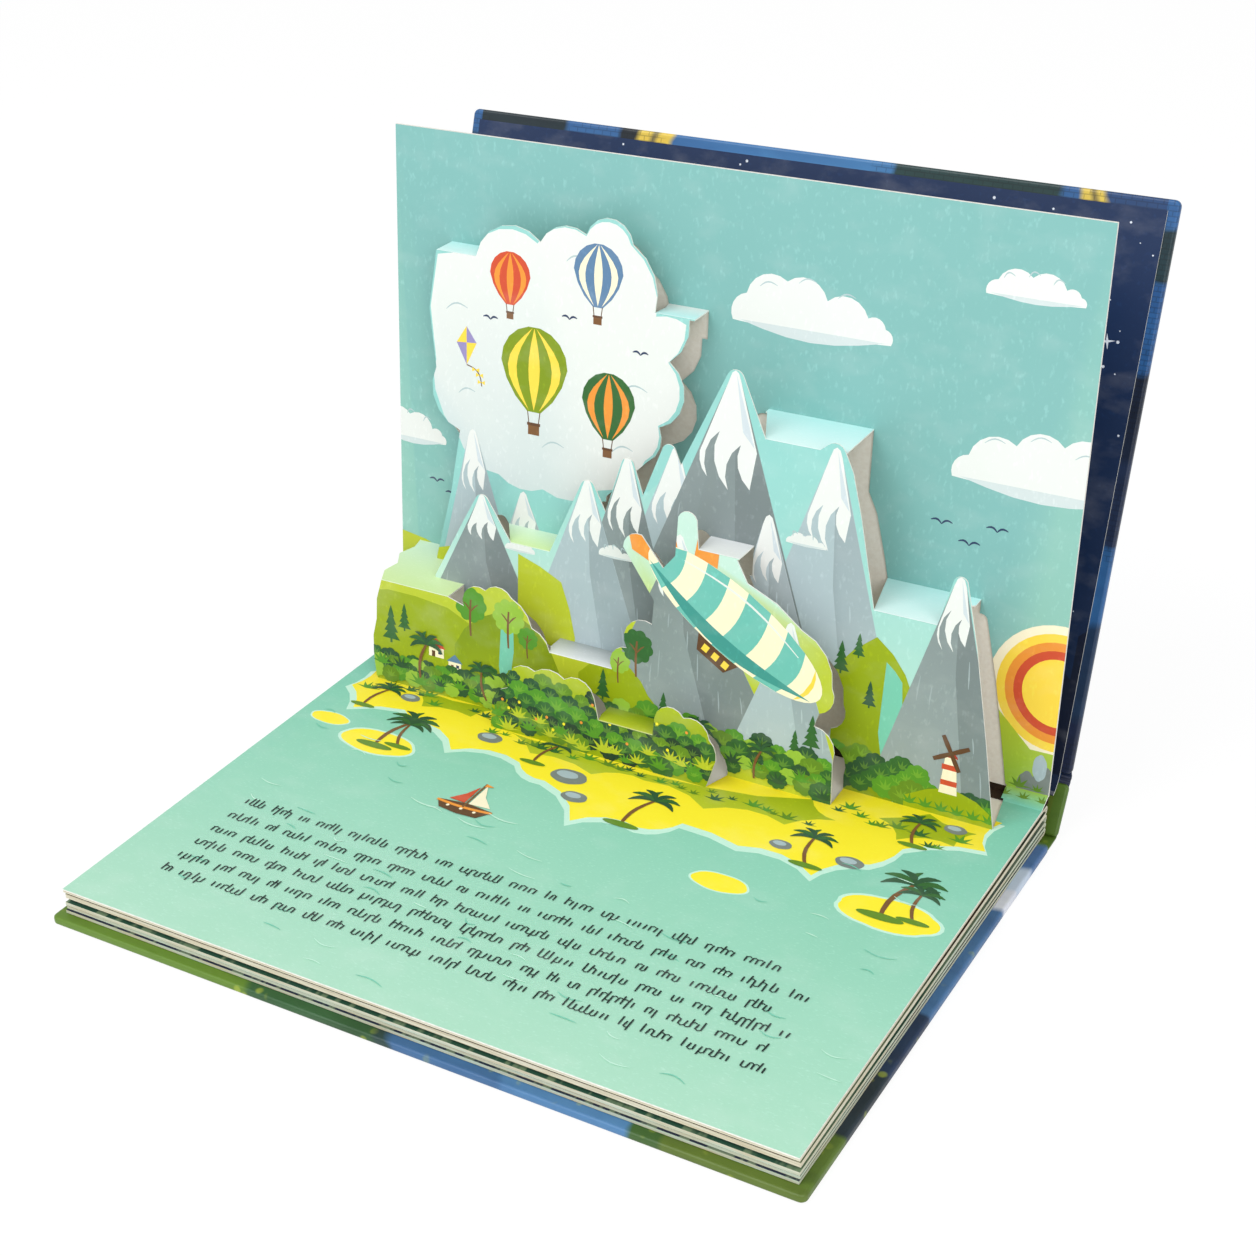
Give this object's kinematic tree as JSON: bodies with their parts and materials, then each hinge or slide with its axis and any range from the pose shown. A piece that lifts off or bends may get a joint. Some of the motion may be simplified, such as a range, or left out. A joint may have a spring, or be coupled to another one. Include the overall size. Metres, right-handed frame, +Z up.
{
  "type": "pop-up book",
  "caption": "Hardback pop-up book open at a die-cut landscape of cloud, snowy peaks, hills and bushes, with its front cover leaning back.",
  "frame": {"origin": "centre of the back cover's underside, on the table", "axes": "+X along the spine towards the right end, +Y towards the spine side, +Z up"},
  "size_m": [0.267, 0.2693, 0.2096],
  "materials": {
    "printed_wrap": "satin film over print",
    "night_wrap": "satin film over print",
    "night_card": "satin print",
    "uncoated_card": "matt",
    "leaf_card": "matt cut edges",
    "printed_card": "satin print",
    "dark_paper": "matt"
  },
  "bodies": {
    "block": {"back_cover": "printed_wrap", "rear_hinge": "printed_wrap", "page_block": "leaf_card", "leaf_back": "uncoated_card", "popup_sheet": "printed_card", "gutter_strip": "dark_paper"},
    "spine_body": {"spine": "printed_wrap"},
    "cover_body": {"front_cover": "night_wrap", "front_hinge": "printed_wrap", "endpaper": "night_card"}
  },
  "joints": [
    {"name": "rear_hinge_joint", "type": "hinge", "parent": "block", "child": "spine_body", "pos_m": [0, 0.1041, 0], "axis": [-1, 0, 0], "range_deg": [-3, 55]},
    {"name": "front_hinge_joint", "type": "hinge", "parent": "spine_body", "child": "cover_body", "pos_m": [0, 0.1133, 0.01639], "axis": [-1, 0, 0], "range_deg": [-9, 17]}
  ]
}
